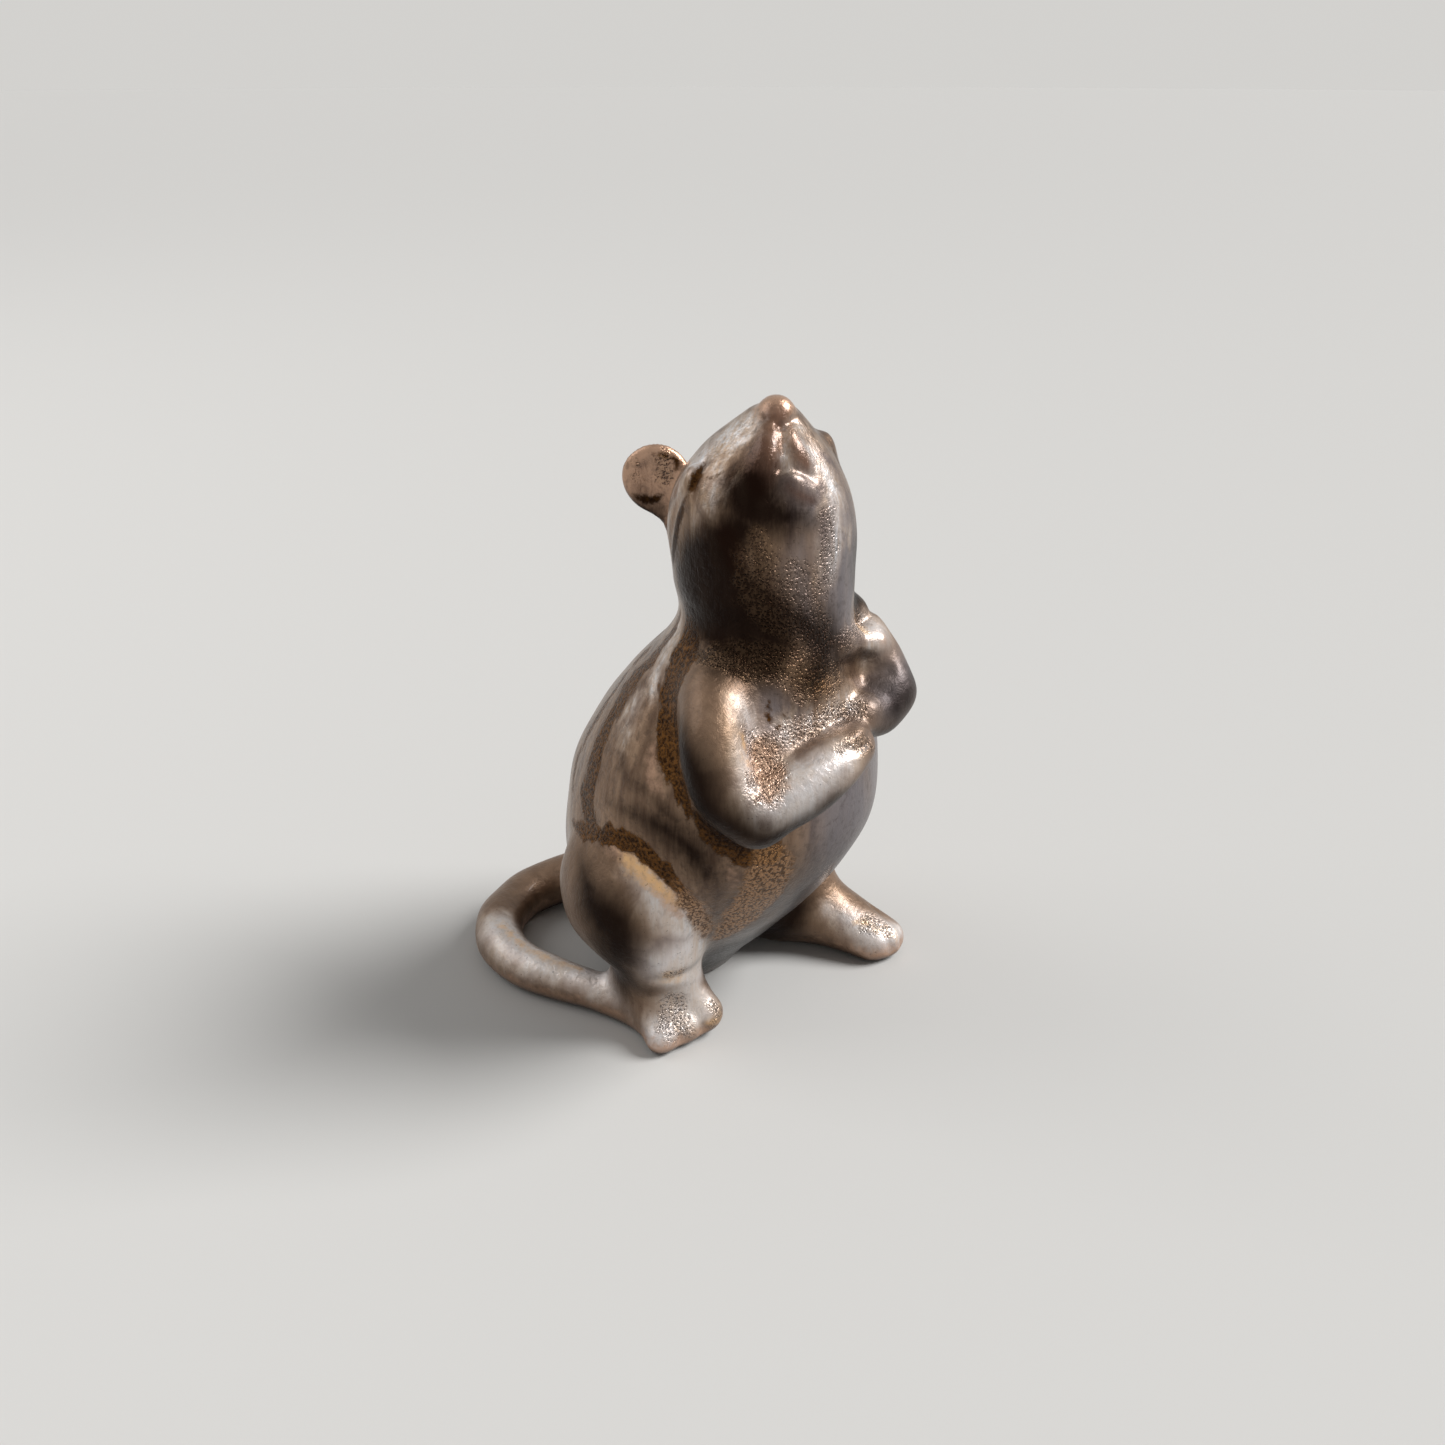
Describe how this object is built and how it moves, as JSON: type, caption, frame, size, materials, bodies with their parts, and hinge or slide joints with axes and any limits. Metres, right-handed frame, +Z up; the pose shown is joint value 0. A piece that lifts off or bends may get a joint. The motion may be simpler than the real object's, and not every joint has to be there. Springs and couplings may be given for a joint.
{
  "type": "rat figurine",
  "caption": "Small stoneware rat sitting up on its haunches with its nose in the air, forepaws at its chest and its tail curled round to a hind foot, in a bronze lustre glaze.",
  "frame": {"origin": "middle of the flat seat under the torso, on the table", "axes": "+Z up, the rat's body faces -Y, its left side is +X"},
  "size_m": [0.0561, 0.0702, 0.0967],
  "materials": {
    "bronze_glaze": "metallic bronze lustre glaze, brown where it pools",
    "silver_glaze": "metallic silver-grey lustre glaze, copper on edges",
    "copper_glaze": "metallic copper lustre glaze"
  },
  "bodies": {
    "root": {"torso": "bronze_glaze", "head": "bronze_glaze", "nose": "copper_glaze", "right_eye": "silver_glaze", "left_eye": "silver_glaze", "right_ear": "copper_glaze", "left_ear": "copper_glaze", "right_foreleg": "silver_glaze", "left_foreleg": "silver_glaze", "right_haunch": "silver_glaze", "left_haunch": "silver_glaze", "right_hind_foot": "silver_glaze", "left_hind_foot": "silver_glaze", "tail": "silver_glaze"}
  },
  "joints": []
}
